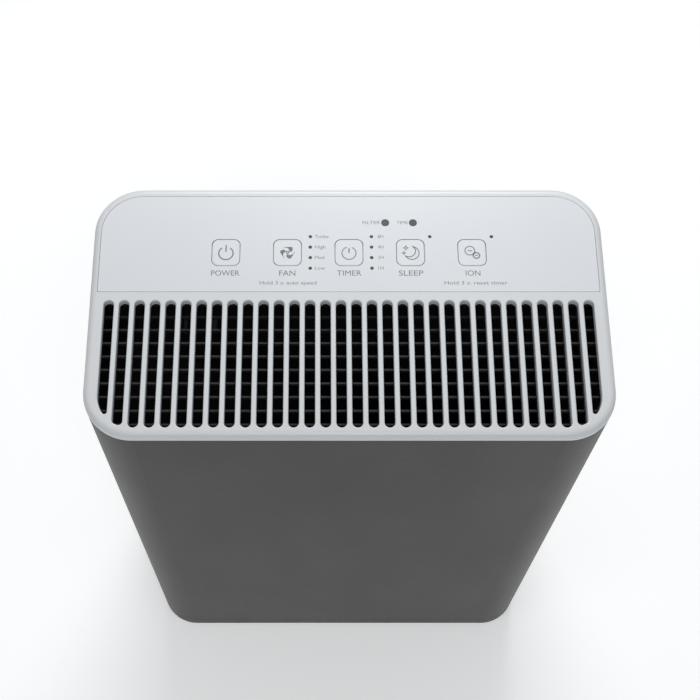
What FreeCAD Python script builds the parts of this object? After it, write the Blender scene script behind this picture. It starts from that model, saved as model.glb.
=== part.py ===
"""Air purifier: an upright box with a top outlet grille, a control panel and a pull-off rear intake cover.

The frame is +Z up, +X to the right and -Y to the front. The origin is the middle of the feet, on the floor.
All sizes are millimetres and come from the spreadsheet "Sizes".
"""

import FreeCAD
import Part
import Sketcher
import math
import os
import re

from FreeCAD import Placement, Rotation, Vector

DOC = FreeCAD.newDocument("air_purifier")

# Driving dimensions: alias, value, what it is.
SIZES = [
    ("case_width", 336, "outer width of the case"),
    ("case_depth", 178, "outer depth of the case"),
    ("case_height", 520, "height from the floor to the top face"),
    ("corner_round", 32, "radius of the upright corners"),
    ("wall", 2.5, "wall of the case mouldings"),
    ("joint_gap", 0.3, "open line between two mouldings"),
    ("slip", 0.1, "clearance round a fitted piece"),
    ("foot_height", 4, "gap under the base"),
    ("foot_radius", 12, "rubber foot"),
    ("foot_sink", 2, "depth of a foot's seat in the base"),
    ("foot_across", 128, "foot centre from the middle, sideways"),
    ("foot_back", 50, "foot centre from the middle, front to back"),
    ("base_height", 18, "side wall of the base"),
    ("base_round", 3, "rounding of the base's lower edge"),
    ("floor_thick", 3, "floor of the base"),
    ("lip", 4, "height of the lips that locate the mouldings"),
    ("lip_wall", 1.5, "wall of those lips"),
    ("cap_height", 6.5, "outer side wall of the top cover"),
    ("cap_round", 4.5, "rounding of the top edge"),
    ("grille_thick", 5.4, "depth of the outlet ribs"),
    ("deck", 2, "deck under the control panel"),
    ("slot_count", 32, "outlet slots"),
    ("slot_pitch", 10, "spacing of the outlet slots"),
    ("slot_width", 6.7, "width of an outlet slot"),
    ("slot_front", -82.5, "front end of the slots"),
    ("slot_back", 5.1, "back end of the slots"),
    ("field_round", 22, "corner that trims the outer slots"),
    ("outer_tip", 1.6, "rounding of the outermost slots' front ends"),
    ("second_tip", 2.6, "rounding of the front ends of the slots beside them"),
    ("rib_round", 0.8, "rounding of the ribs' upper edges"),
    ("bay_step", 1.85, "wall between the outlet and the space under the deck"),
    ("panel_front", 11.1, "front edge of the control panel"),
    ("panel_inset", 4.8, "border beside the control panel"),
    ("panel_inset_back", 6.5, "border behind the control panel"),
    ("panel_thick", 1.8, "control panel"),
    ("panel_gap", 0.3, "open line round the control panel"),
    ("panel_round", 27, "back corners of the control panel"),
    ("key_pitch", 40.4, "spacing of the keys"),
    ("key_shift", 0.5, "middle key from the middle of the case"),
    ("key_row", 40, "middle of the row of keys"),
    ("key_width", 18, "key, sideways"),
    ("key_depth", 19, "key, front to back"),
    ("key_round", 4, "corners of a key"),
    ("key_gap", 0.5, "gap around a key"),
    ("key_edge", 0.4, "rounding of a key's top edge"),
    ("key_travel", 0.8, "how far a key goes down"),
    ("flange_out", 1, "how far a key's flange reaches past its cap"),
    ("flange_thick", 1.1, "a key's flange"),
    ("stem_radius", 2.5, "a key's stem"),
    ("lamp_radius", 1.2, "small indicator lens"),
    ("lamp_pitch", 7.8, "spacing of the indicators"),
    ("lamp_top", 51.8, "rearmost indicator of a column"),
    ("lamp_room", 0.4, "gap round a light pipe under the panel"),
    ("status_radius", 2.7, "status lens"),
    ("status_row", 62.3, "row of the status lenses"),
    ("board_top", 506.6, "upper face of the control board"),
    ("board_thick", 1.6, "circuit boards"),
    ("board_margin", 5, "control board beyond its screws"),
    ("post_across", 106, "board posts from the middle"),
    ("post_front", 22, "front pair of board posts"),
    ("post_back", 70, "back pair of board posts"),
    ("post_radius", 3.5, "board post"),
    ("pilot_radius", 1.4, "screw hole in a post"),
    ("pilot_depth", 6, "screw hole in a post"),
    ("switch_side", 6, "key switch"),
    ("switch_height", 3.5, "key switch"),
    ("chip_side", 1.6, "light-emitting chip"),
    ("chip_height", 1.2, "light-emitting chip"),
    ("pipe_gap", 0.7, "from a chip to its light pipe"),
    ("window_width", 262, "opening for the filter"),
    ("window_low", 62, "bottom of the opening"),
    ("window_high", 446, "top of the opening"),
    ("window_round", 8, "corners of the opening"),
    ("cover_gap", 0.6, "gap around the rear cover"),
    ("cover_depth", 14, "depth of the rear cover with its skirt"),
    ("vent_pitch", 10, "spacing of the intake slots"),
    ("vent_width", 4.5, "height of an intake slot"),
    ("vent_length", 72, "length of an intake slot"),
    ("vent_rows", 30, "intake slots in a column"),
    ("finger_width", 64, "finger hole in the rear cover"),
    ("finger_height", 18, "finger hole in the rear cover"),
    ("finger_drop", 26, "finger hole below the top of the opening"),
    ("cover_round", 1, "rounding of the rear cover's outer edge"),
    ("stiffener_across", 39, "the rear cover's upright ribs from the middle"),
    ("stiffener_wide", 2, "the rear cover's upright ribs"),
    ("vent_gap", 6, "between two columns of intake slots"),
    ("vent_start", 30, "lowest intake slot above the opening's bottom"),
    ("clip_length", 20, "clip of the rear cover"),
    ("clip_depth", 9, "clip of the rear cover"),
    ("clip_low", 70, "lower clips above the opening's bottom"),
    ("clip_drop", 90, "upper clips below the opening's top"),
    ("vent_hole_length", 18, "slot of the dust sensor's vent"),
    ("vent_hole_width", 1.8, "slot of the dust sensor's vent"),
    ("vent_hole_pitch", 4, "spacing of the vent's slots"),
    ("vent_hole_count", 6, "slots of the vent"),
    ("sensor_back", 40, "dust sensor behind the middle of the case"),
    ("sensor_height", 302, "height of the dust sensor's middle"),
    ("bay_front", 17.2, "front face of the filter bay's plate"),
    ("bay_plate", 2.5, "the filter bay's plate"),
    ("filter_gap", 2, "gap around the filter"),
    ("filter_front", 24, "fan side of the filter"),
    ("filter_thick", 38, "filter"),
    ("filter_rim", 6, "border of the filter's frame"),
    ("filter_round", 3, "corners of the filter"),
    ("seal_thick", 3.8, "foam seal"),
    ("seal_rim", 5, "width of the foam seal"),
    ("mat_thick", 3, "carbon mat"),
    ("mat_sink", 0.4, "carbon mat below the frame's face"),
    ("tab_across", 70, "pull tabs from the middle"),
    ("tab_width", 18, "pull tab"),
    ("tab_thick", 0.8, "pull tab"),
    ("tab_length", 60, "pull tab"),
    ("tab_low", 376, "lower end of the pull tabs"),
    ("net_frame_gap", 2, "between the filter and the net's frame"),
    ("net_frame_thick", 5, "the net's frame"),
    ("net_bar", 5, "bars of the net's frame"),
    ("net_columns", 6, "cells of the net's frame, across"),
    ("net_rows", 9, "cells of the net's frame, up"),
    ("net_thick", 0.4, "net"),
    ("net_rim", 3, "the net's groove inside its frame's edge"),
    ("pleat_pitch", 6, "spacing of the pleats"),
    ("pleat_sheet", 0.9, "thickness of the pleated paper"),
    ("fan_height", 190, "height of the fan's axis"),
    ("fan_radius", 95, "outer radius of the fan wheel"),
    ("blade_inner", 80, "inner radius of the blades"),
    ("blade_count", 36, "blades"),
    ("blade_thick", 1.2, "blade"),
    ("blade_length", 48, "blade, along the axis"),
    ("wheel_back", -42, "rear-plate face of the fan wheel, motor side"),
    ("shaft_radius", 4, "motor shaft"),
    ("motor_radius", 42, "motor"),
    ("scroll_front", -80, "outer face of the scroll's motor side"),
    ("scroll_wall", 2.2, "wall of the scroll housing"),
    ("scroll_first", 110, "scroll radius at the tongue"),
    ("scroll_step", 14, "growth of the scroll in each quarter"),
    ("duct_top", 504, "top of the outlet duct"),
    ("duct_half", 161.5, "half the width of the outlet duct"),
    ("inlet_radius", 74, "bell mouth of the fan"),
    ("inlet_depth", 9, "bell mouth in front of the plate"),
    ("bay_wall", 2, "walls of the filter bay"),
    ("bay_corner", 6, "corners of the filter bay's plate"),
    ("boss_radius", 4.5, "bosses for the case screws"),
    ("guard_pitch", 9.4, "spacing of the guard's cross bars"),
    ("guard_bar", 1.2, "width of the guard's bars"),
    ("guard_thick", 3, "depth of the guard's bars"),
    ("guard_front", -82, "front edge of the guard"),
    ("guard_round", 29, "front corners of the guard"),
    ("guard_first", 6.2, "first cross bar behind the guard's edge"),
    ("cup_width", 110, "hand recess"),
    ("cup_height", 34, "hand recess"),
    ("cup_depth", 26, "hand recess"),
    ("cup_wall", 2, "wall of the hand recess"),
    ("cup_round", 8, "corners of the hand recess"),
    ("cup_lip", 0.9, "rounding of the recess's mouth"),
    ("cup_floor", 2.5, "rounding of the recess's floor"),
    ("cup_centre", 479, "height of the hand recess"),
    ("socket_across", 100, "power socket from the middle"),
    ("socket_height", 42, "height of the power socket"),
    ("socket_wide", 30, "face of the power socket"),
    ("socket_tall", 18, "face of the power socket"),
    ("socket_face", 2.4, "thickness of the socket's face"),
    ("socket_round", 2.7, "corners of the socket's face"),
    ("socket_body_wide", 21, "body of the power socket"),
    ("socket_body_tall", 13, "body of the power socket"),
    ("socket_depth", 20, "body of the power socket"),
    ("mouth_wide", 16.4, "recess of the power socket"),
    ("mouth_tall", 8.6, "recess of the power socket"),
    ("mouth_depth", 17, "recess of the power socket"),
    ("pin_radius", 1.2, "pin of the power socket"),
    ("pin_across", 4.3, "pin from the socket's middle"),
    ("pin_length", 12, "pin of the power socket"),
    ("screw_across", 70, "case screws from the middle"),
    ("screw_height", 454.5, "height of the case screws"),
    ("screw_seat", 1.7, "depth of the seats of the case screws"),
    ("screw_radius", 1.5, "shank of the case screws"),
    ("screw_head", 3, "head of the case screws"),
    ("screw_rise", 1.6, "height of the case screws' heads"),
    ("lead_height", 46, "height of the motor's lead along the floor of the case"),
    ("mains_board", 148, "outer face of the mains board's parts"),
]
ALIASES = {alias for alias, value, note in SIZES}


def make_sheet():
    """The spreadsheet that holds the driving dimensions."""
    sheet = DOC.addObject("Spreadsheet::Sheet", "Sizes")
    for row, (alias, value, note) in enumerate(SIZES, start=1):
        sheet.set(f"A{row}", note)
        sheet.set(f"B{row}", str(value))
        sheet.setAlias(f"B{row}", alias)
    DOC.recompute()
    return sheet


SHEET = make_sheet()
PIECES = []


def expr(text):
    """An expression in which each alias is written as a reference to the sheet."""

    def refer(word):
        return f"Sizes.{word[0]}" if word[0] in ALIASES else word[0]

    return re.sub(r"[a-z][a-z_]*", refer, str(text))


def size(text):
    """The present value of an expression."""
    value = SHEET.evalExpression(expr(text))
    return float(getattr(value, "Value", value))


def keep(obj, label):
    """Names obj as a finished sub-part."""
    obj.Label = label
    PIECES.append(obj)
    return obj


# ---------------------------------------------------------------- outlines for sketches


def arc(cx, cy, radius, start, end):
    """An arc of a circle in sketch coordinates; start and end are in degrees."""
    circle = Part.Circle(Vector(cx, cy, 0), Vector(0, 0, 1), radius)
    return Part.ArcOfCircle(circle, math.radians(start), math.radians(end))


def line(x1, y1, x2, y2):
    return Part.LineSegment(Vector(x1, y1, 0), Vector(x2, y2, 0))


def drive(sketch, kind, refs, text):
    """Adds a dimension that follows the sheet."""
    index = sketch.addConstraint(Sketcher.Constraint(kind, *refs, size(text)))
    sketch.setExpression(f"Constraints[{index}]", expr(text))


def rectangle(width, height, radius, low_radius=None):
    """A centred rectangle with round corners. low_radius is for the two corners at -y, if they differ."""

    def draw(sketch):
        half_w, half_h, r = size(width) / 2, size(height) / 2, size(radius)
        low = size(low_radius) if low_radius else r
        first = sketch.GeometryCount
        bottom, right, top, left = first, first + 1, first + 2, first + 3
        sketch.addGeometry(
            [
                line(-half_w + low, -half_h, half_w - low, -half_h),
                line(half_w, -half_h + low, half_w, half_h - r),
                line(half_w - r, half_h, -half_w + r, half_h),
                line(-half_w, half_h - r, -half_w, -half_h + low),
                arc(half_w - low, -half_h + low, low, -90, 0),
                arc(half_w - r, half_h - r, r, 0, 90),
                arc(-half_w + r, half_h - r, r, 90, 180),
                arc(-half_w + low, -half_h + low, low, 180, 270),
            ],
            False,
        )
        rules = []
        for side in range(4):
            corner = first + 4 + side
            rules.append(Sketcher.Constraint("Tangent", first + side, 2, corner, 1))
            rules.append(Sketcher.Constraint("Tangent", corner, 2, first + (side + 1) % 4, 1))
        rules += [Sketcher.Constraint("Horizontal", side) for side in (bottom, top)]
        rules += [Sketcher.Constraint("Vertical", side) for side in (right, left)]
        rules += [Sketcher.Constraint("Equal", first + a, first + b) for a, b in ((5, 6), (4, 7))]
        sketch.addConstraint(rules)
        drive(sketch, "Radius", (first + 5,), radius)
        drive(sketch, "Radius", (first + 4,), low_radius or radius)
        drive(sketch, "DistanceX", (left, 1, right, 1), width)
        drive(sketch, "DistanceY", (bottom, 1, top, 1), height)
        drive(sketch, "DistanceX", (-1, 1, right, 1), f"({width}) / 2")
        drive(sketch, "DistanceY", (-1, 1, top, 1), f"({height}) / 2")

    return draw


def stadium(length, width):
    """A centred slot with round ends, along the sketch's x."""

    def draw(sketch):
        r = size(width) / 2
        half = size(length) / 2 - r
        first = sketch.GeometryCount
        sides = [line(-half, -r, half, -r), line(half, r, -half, r)]
        ends = [arc(half, 0, r, -90, 90), arc(-half, 0, r, 90, 270)]
        sketch.addGeometry([sides[0], ends[0], sides[1], ends[1]], False)
        low, right, high, left = range(first, first + 4)
        sketch.addConstraint(
            [
                Sketcher.Constraint("Tangent", low, 2, right, 1),
                Sketcher.Constraint("Tangent", right, 2, high, 1),
                Sketcher.Constraint("Tangent", high, 2, left, 1),
                Sketcher.Constraint("Tangent", left, 2, low, 1),
                Sketcher.Constraint("Horizontal", low),
                Sketcher.Constraint("Symmetric", right, 3, left, 3, -1, 1),
            ]
        )
        drive(sketch, "Radius", (right,), f"({width}) / 2")
        drive(sketch, "DistanceX", (left, 3, right, 3), f"({length}) - ({width})")

    return draw


def circle(radius):
    """A circle round the sketch's origin."""

    def draw(sketch):
        index = sketch.addGeometry(Part.Circle(Vector(0, 0, 0), Vector(0, 0, 1), size(radius)), False)
        sketch.addConstraint(Sketcher.Constraint("Coincident", index, 3, -1, 1))
        drive(sketch, "Radius", (index,), radius)

    return draw


class Moulding:
    """A PartDesign body. level is a place along the plane's world axis, and every pad and cut goes the way
    that axis grows: XY along +Z, XZ along +Y and YZ along +X. at is the outline's centre in that plane."""

    PLANES = {"XY": ("XY_Plane", 1), "XZ": ("XZ_Plane", -1), "YZ": ("YZ_Plane", 1)}

    def __init__(self, label):
        self.body = DOC.addObject("PartDesign::Body", "Body_" + label)
        self.label = label

    def sketch(self, plane, level, at, outlines):
        role, sign = self.PLANES[plane]
        sketch = self.body.newObject("Sketcher::SketchObject", "Sketch")
        support = next(f for f in self.body.Origin.OriginFeatures if f.Role == role)
        sketch.AttachmentSupport = [(support, "")]
        sketch.MapMode = "FlatFace"
        offsets = (at[0], at[1], f"{sign} * ({level})")
        for axis, text in zip("xyz", offsets):
            sketch.setExpression(f"AttachmentOffset.Base.{axis}", expr(text))
        for outline in outlines:
            outline(sketch)
        return sketch, sign

    def add(self, plane, level, length, *outlines, at=("0", "0")):
        sketch, sign = self.sketch(plane, level, at, outlines)
        feature = self.body.newObject("PartDesign::Pad", "Pad")
        feature.Profile = sketch
        feature.setExpression("Length", expr(length))
        feature.Reversed = sign < 0
        return feature

    def cut(self, plane, level, length, *outlines, at=("0", "0")):
        sketch, sign = self.sketch(plane, level, at, outlines)
        before = self.volume()
        feature = self.body.newObject("PartDesign::Pocket", "Pocket")
        feature.Profile = sketch
        feature.setExpression("Length", expr(length))
        feature.Reversed = sign > 0
        if self.volume() > before - 1e-6:
            raise RuntimeError(f"{self.label}: a pocket cuts nothing")
        return feature

    def volume(self):
        DOC.recompute()
        return self.body.Shape.Volume if self.body.Tip else 0.0

    def row(self, feature, axis, pitch, count):
        """Repeats a pad or pocket along its sketch's H_Axis or V_Axis."""
        pattern = self.body.newObject("PartDesign::LinearPattern", "Row")
        pattern.Originals = [feature]
        pattern.Direction = (feature.Profile[0], [axis])
        pattern.setExpression("Length", expr(f"({pitch}) * ({count} - 1)"))
        pattern.setExpression("Occurrences", expr(count))
        self.body.Tip = pattern
        return pattern

    def grid(self, feature, across, across_count, up, up_count):
        """Repeats a pocket in columns and rows."""
        multi = self.body.newObject("PartDesign::MultiTransform", "Grid")
        multi.Originals = [feature]
        steps = []
        for axis, pitch, count in (("H_Axis", across, across_count), ("V_Axis", up, up_count)):
            step = self.body.newObject("PartDesign::LinearPattern", "Step")
            step.Direction = (feature.Profile[0], [axis])
            step.setExpression("Length", expr(f"({pitch}) * ({count} - 1)"))
            step.setExpression("Occurrences", expr(count))
            steps.append(step)
        multi.Transformations = steps
        self.body.Tip = multi
        return multi

    def ring(self, feature, count):
        """Repeats a feature round its sketch's normal."""
        pattern = self.body.newObject("PartDesign::PolarPattern", "Ring")
        pattern.Originals = [feature]
        pattern.Axis = (feature.Profile[0], ["N_Axis"])
        pattern.Angle = 360
        pattern.setExpression("Occurrences", expr(count))
        self.body.Tip = pattern
        return pattern

    def round(self, radius, wanted):
        """Rounds the edges for which wanted(edge) is true."""
        DOC.recompute()
        tip = self.body.Tip
        names = [f"Edge{i}" for i, edge in enumerate(tip.Shape.Edges, start=1) if wanted(edge)]
        if not names:
            raise RuntimeError(f"{self.label}: no edge to round")
        feature = self.body.newObject("PartDesign::Fillet", "Fillet")
        feature.Base = (tip, names)
        feature.setExpression("Radius", expr(radius))
        self.body.Tip = feature
        return feature

    def done(self):
        DOC.recompute()
        return keep(self.body, self.label)


TINY = 1e-4


def at_level(edge, axis, level):
    """True for an edge that lies in the plane where that axis is at level."""
    box = edge.BoundBox
    low, high = getattr(box, axis + "Min"), getattr(box, axis + "Max")
    return abs(low - level) < TINY and abs(high - level) < TINY


def upright(edge):
    """True for a straight edge along Z."""
    box = edge.BoundBox
    return box.ZLength > 1 and box.XLength < TINY and box.YLength < TINY


def solid(kind, sizes, place=("0", "0", "0"), turn=None):
    """A Part primitive, such as Part::Box, whose sizes and place follow the sheet. turn is a Rotation."""
    obj = DOC.addObject("Part::" + kind, kind)
    if turn:
        obj.Placement = Placement(Vector(), turn)
    for name, text in sizes.items():
        obj.setExpression(name, expr(text))
    for axis, text in zip("xyz", place):
        obj.setExpression(f"Placement.Base.{axis}", expr(text))
    return obj


ALONG_Y = Rotation(Vector(1, 0, 0), -90)
BACKWARD = Vector(0, 1, 0)


def box(x, y, z, low_x, low_y, low_z):
    return solid("Box", {"Length": x, "Width": y, "Height": z}, (low_x, low_y, low_z))


def rod(radius, length, place, turn=None):
    return solid("Cylinder", {"Radius": radius, "Height": length}, place, turn)


def group(label, members):
    """Separate solids that share one node."""
    compound = DOC.addObject("Part::Compound", "Group_" + label)
    compound.Links = members
    return keep(compound, label)


def minus(base, *tools):
    """base with the tools cut out of it."""
    for tool in tools:
        cut = DOC.addObject("Part::Cut", "Cut")
        cut.Base = base
        cut.Tool = tool
        base = cut
    return base


def feature(label, shape):
    """A finished sub-part from a shape made with Part's functions."""
    obj = DOC.addObject("Part::Feature", "Shape_" + label)
    obj.Shape = shape
    return keep(obj, label)


def tube_along(points, radius, bend):
    """A round lead along straight runs that are joined by tangent arcs of radius bend."""
    edges = []
    here = points[0]
    for before, corner, after in zip(points, points[1:], points[2:]):
        a, b = (before - corner).normalize(), (after - corner).normalize()
        half = a.getAngle(b) / 2
        reach = bend / math.tan(half)
        start, end = corner + a * reach, corner + b * reach
        middle_way = (a + b).normalize()
        middle = corner + middle_way * (bend / math.sin(half) - bend)
        edges.append(Part.LineSegment(here, start).toShape())
        edges.append(Part.Arc(start, middle, end).toShape())
        here = end
    edges.append(Part.LineSegment(here, points[-1]).toShape())
    path = Part.Wire(edges)
    section = Part.Wire([Part.Circle(points[0], points[1] - points[0], radius).toShape()])
    lead = path.makePipeShell([section], True, False)
    expected = math.pi * radius**2 * path.Length
    if abs(lead.Volume - expected) > 0.02 * expected:
        raise RuntimeError("a lead's volume is not its section times its length")
    return lead


def prism(points, direction):
    """A straight-sided polygon, extruded."""
    return Part.Face(Part.makePolygon(points + [points[0]])).extrude(direction)


def hex_head(x, y, z, across, depth, axis):
    """A hexagonal nut or head, centred on an axis through x, y, z."""
    corners = []
    for i in range(6):
        angle = math.radians(60 * i)
        corners.append(Vector(math.cos(angle), math.sin(angle), 0) * (across / math.sqrt(3)))
    nut = prism(corners, Vector(0, 0, depth))
    nut.Placement = Placement(Vector(x, y, z), Rotation(Vector(0, 0, 1), axis))
    return nut


def cross_screw(head_radius, head_height, shank_radius, shank_length):
    """A pan-head screw with a cross recess; its head is above z = 0 and its shank below."""
    head = Part.makeCylinder(head_radius, head_height)
    head = head.makeFillet(head_height * 0.45, [e for e in head.Edges if at_level(e, "Z", head_height)])
    shank = Part.makeCylinder(shank_radius, shank_length, Vector(0, 0, -shank_length))
    screw = head.fuse(shank)
    blade, depth = head_radius * 1.1, head_height * 0.5
    for length, width in ((blade, blade * 0.28), (blade * 0.28, blade)):
        slot = Part.makeBox(length, width, depth, Vector(-length / 2, -width / 2, head_height - depth))
        screw = screw.cut(slot)
    return screw


def screws(label, places, direction, head_radius=3.0, head_height=1.8, shank_radius=1.4, shank_length=8.0):
    """Equal screws whose heads point along direction."""
    turn = Rotation(Vector(0, 0, 1), direction)
    made = []
    for place in places:
        screw = cross_screw(head_radius, head_height, shank_radius, shank_length)
        screw.Placement = Placement(place, turn)
        made.append(screw)
    return feature(label, Part.makeCompound(made))


# ---------------------------------------------------------------- case


LIP_OUTSIDE = "wall + joint_gap / 2"
LIP_INSIDE = "wall + joint_gap / 2 + lip_wall"


def case_outline(inset):
    """The case's outline from above, drawn in by inset all round."""
    width, depth = (f"{side} - 2 * ({inset})" for side in ("case_width", "case_depth"))
    return rectangle(width, depth, f"corner_round - ({inset})")


def make_base():
    """The tray that the case stands on, with seats for the feet and a lip inside the shells."""
    part = Moulding("base")
    part.add("XY", "foot_height", "base_height", case_outline("0"))
    part.round("base_round", lambda edge: at_level(edge, "Z", size("foot_height")))
    part.add("XY", "foot_height + wall", "base_height - wall + lip", case_outline(LIP_OUTSIDE))
    part.cut("XY", "foot_height + floor_thick", "base_height + lip", case_outline(LIP_INSIDE))
    first = ("-foot_across", "-foot_back")
    seat = part.cut("XY", "foot_height", "foot_sink", circle("foot_radius + slip"), at=first)
    part.grid(seat, "2 * foot_across", "2", "2 * foot_back", "2")
    return part.done()


def make_feet():
    """Four rubber feet."""
    feet = []
    for side in ("-1", "1"):
        for end in ("-1", "1"):
            place = (f"{side} * foot_across", f"{end} * foot_back", "0")
            feet.append(rod("foot_radius", "foot_height + foot_sink", place))
    return group("feet", feet)


SHELL_LOW = "foot_height + base_height + joint_gap"
SHELL_HIGH = "case_height - cap_height - joint_gap"


def shell(label):
    """An upright ring with round corners, before its other half is cut away."""
    part = Moulding(label)
    part.add("XY", SHELL_LOW, f"({SHELL_HIGH}) - ({SHELL_LOW})", case_outline("0"), case_outline("wall"))
    return part


def block(width, height):
    """A plain rectangle for cutting, with corners that fall clear of the piece."""
    return rectangle(width, height, "wall")


def make_front_cover():
    """The front half of the case, in one piece round both front corners."""
    part = shell("front_cover")
    rear_half = block("2 * case_width", "case_depth")
    part.cut("XY", "0", "case_height", rear_half, at=("0", "(case_depth - joint_gap) / 2"))
    return part.done()


def make_rear_housing():
    """The rear half of the case, open for the filter, the hand recess, the socket, the sensor's vent and two
    case screws in sunk seats."""
    part = shell("rear_housing")
    front_half = block("2 * case_width", "case_depth")
    part.cut("XY", "0", "case_height", front_half, at=("0", "(joint_gap - case_depth) / 2"))
    inside, through = "case_depth / 4", "case_depth"
    window = rectangle("window_width", "window_high - window_low", "window_round")
    part.cut("XZ", inside, through, window, at=("0", WINDOW_MIDDLE))
    room = "2 * (cup_wall + 2 * slip)"
    cup = rectangle(f"cup_width + {room}", f"cup_height + {room}", "cup_round + cup_wall")
    part.cut("XZ", inside, through, cup, at=("0", "cup_centre"))
    room = "2 * joint_gap"
    socket = rectangle(f"socket_wide + {room}", f"socket_tall + {room}", "socket_round + joint_gap")
    part.cut("XZ", inside, through, socket, at=("socket_across", "socket_height"))
    lowest = "sensor_height - (vent_hole_count - 1) / 2 * vent_hole_pitch"
    outline = stadium("vent_hole_length", "vent_hole_width")
    vent = part.cut("YZ", "-case_width / 2 - 1", "wall + 2", outline, at=("sensor_back", lowest))
    part.row(vent, "V_Axis", "vent_hole_pitch", "vent_hole_count")
    seat = "case_depth / 2 - screw_seat"
    for level, radius in ((inside, "screw_radius + 2 * slip"), (seat, "screw_head + 3 * slip")):
        hole = part.cut("XZ", level, through, circle(radius), at=("-screw_across", "screw_height"))
        part.row(hole, "H_Axis", "2 * screw_across", "2")
    return part.done()


CONTROL_KEYS = ("power_key", "fan_key", "timer_key", "sleep_key", "ion_key")
FAN_LAMPS = -24.9
TIMER_LAMPS = 15.4
SLEEP_LAMP = 53.9
ION_LAMP = 94.6
STATUS_LAMPS = (24.7, 43.1)


def lamp_places():
    """The small indicators: a column of four beside two keys, and one beside each of two more."""
    top, pitch = size("lamp_top"), size("lamp_pitch")
    places = [(x, top - pitch * i) for x in (FAN_LAMPS, TIMER_LAMPS) for i in range(4)]
    return places + [(SLEEP_LAMP, top), (ION_LAMP, top)]


def panel_outline(gap):
    """The control panel's outline and its centre, drawn in by gap all round."""
    width = f"case_width - 2 * panel_inset - 2 * ({gap})"
    depth = f"case_depth / 2 - panel_inset_back - panel_front - 2 * ({gap})"
    centre = "(case_depth / 2 - panel_inset_back + panel_front) / 2"
    return rectangle(width, depth, f"panel_round - ({gap})", "1.2"), ("0", centre)


def lamp_holes(part, level, length, small, large):
    """Cuts the holes over the indicators."""
    for x in (FAN_LAMPS, TIMER_LAMPS):
        hole = part.cut("XY", level, length, circle(small), at=(str(x), "lamp_top - 3 * lamp_pitch"))
        part.row(hole, "V_Axis", "lamp_pitch", "4")
    for x in (SLEEP_LAMP, ION_LAMP):
        part.cut("XY", level, length, circle(small), at=(str(x), "lamp_top"))
    for x in STATUS_LAMPS:
        part.cut("XY", level, length, circle(large), at=(str(x), "status_row"))


REACH = 20.0


def outlet_field():
    """The space that holds the outlet slots, with its two front corners rounded."""
    half = size("(slot_count - 1) / 2 * slot_pitch + slot_width / 2")
    front, low = size("slot_front"), size("case_height") - REACH
    field = Part.makeBox(2 * half, size("case_depth"), 2 * REACH, Vector(-half, front, low))
    corners = [edge for edge in field.Edges if upright(edge) and abs(edge.BoundBox.YMin - front) < TINY]
    return field.makeFillet(size("field_round"), corners)


def outlet_slot(index, field):
    """The solid that cuts one slot. The two outer slots at each side end at the field's round corner."""
    radius, front, back = size("slot_width") / 2, size("slot_front"), size("slot_back")
    low, count = size("case_height") - REACH, int(size("slot_count"))
    x = (index - (count - 1) / 2) * size("slot_pitch")
    from_side = min(index, count - 1 - index)
    start = front + radius if from_side >= 2 else front - REACH
    slot = Part.makeBox(2 * radius, back - radius - start, 2 * REACH, Vector(x - radius, start, low))
    slot = slot.fuse(Part.makeCylinder(radius, 2 * REACH, Vector(x, back - radius, low)))
    if from_side >= 2:
        return slot.fuse(Part.makeCylinder(radius, 2 * REACH, Vector(x, start, low))).removeSplitter()
    slot = slot.common(field)
    near = front + size("field_round") / 2
    tips = [edge for edge in slot.Edges if upright(edge) and edge.BoundBox.YMax < near]
    return slot.makeFillet(size("second_tip" if from_side else "outer_tip"), tips).removeSplitter()


def outlet_slots():
    """The solids that are cut out of the top cover, one for each slot."""
    field = outlet_field()
    cutter = DOC.addObject("Part::Feature", "OutletSlots")
    cutter.Shape = Part.makeCompound([outlet_slot(index, field) for index in range(int(size("slot_count")))])
    return cutter


def cover_blank():
    """The white cover before its slots are cut: its skin, its lip, the panel's seat and the board's posts."""
    part = Moulding("top_cover_blank")
    part.add("XY", "case_height - cap_height", "cap_height", case_outline("0"))
    part.round("cap_round", lambda edge: at_level(edge, "Z", size("case_height")))
    low = "case_height - cap_height - lip"
    part.add("XY", low, "lip + 1", case_outline(LIP_OUTSIDE))
    part.cut("XY", f"{low} - 1", "lip + 1 + cap_height - grille_thick", case_outline(LIP_INSIDE))
    roof = "case_height - panel_thick - deck"
    bay_depth = f"case_depth / 2 - ({LIP_INSIDE}) - panel_front - bay_step"
    bay = rectangle(f"case_width - 2 * ({LIP_INSIDE})", bay_depth, f"corner_round - ({LIP_INSIDE})", "deck")
    part.cut("XY", low, f"({roof}) - ({low})", bay, at=("0", f"panel_front + bay_step + ({bay_depth}) / 2"))
    outline, centre = panel_outline("0")
    part.cut("XY", "case_height - panel_thick", "panel_thick + 1", outline, at=centre)
    room = "2 * (flange_out + key_gap)"
    window = rectangle(f"key_width + {room}", f"key_depth + {room}", "key_round / 2")
    keyway = part.cut("XY", low, "cap_height + lip", window, at=("key_shift - 2 * key_pitch", "key_row"))
    part.row(keyway, "H_Axis", "key_pitch", "5")
    lamp_holes(part, low, "cap_height + lip", "lamp_radius + lamp_room", "status_radius + lamp_room")
    for y in ("post_front", "post_back"):
        at = ("-post_across", y)
        post = part.add("XY", "board_top", f"({roof}) + deck / 2 - board_top", circle("post_radius"), at=at)
        part.row(post, "H_Axis", "2 * post_across", "2")
        pilot = part.cut("XY", "board_top - 1", "pilot_depth + 1", circle("pilot_radius"), at=at)
        part.row(pilot, "H_Axis", "2 * post_across", "2")
    DOC.recompute()
    return part.body


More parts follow.
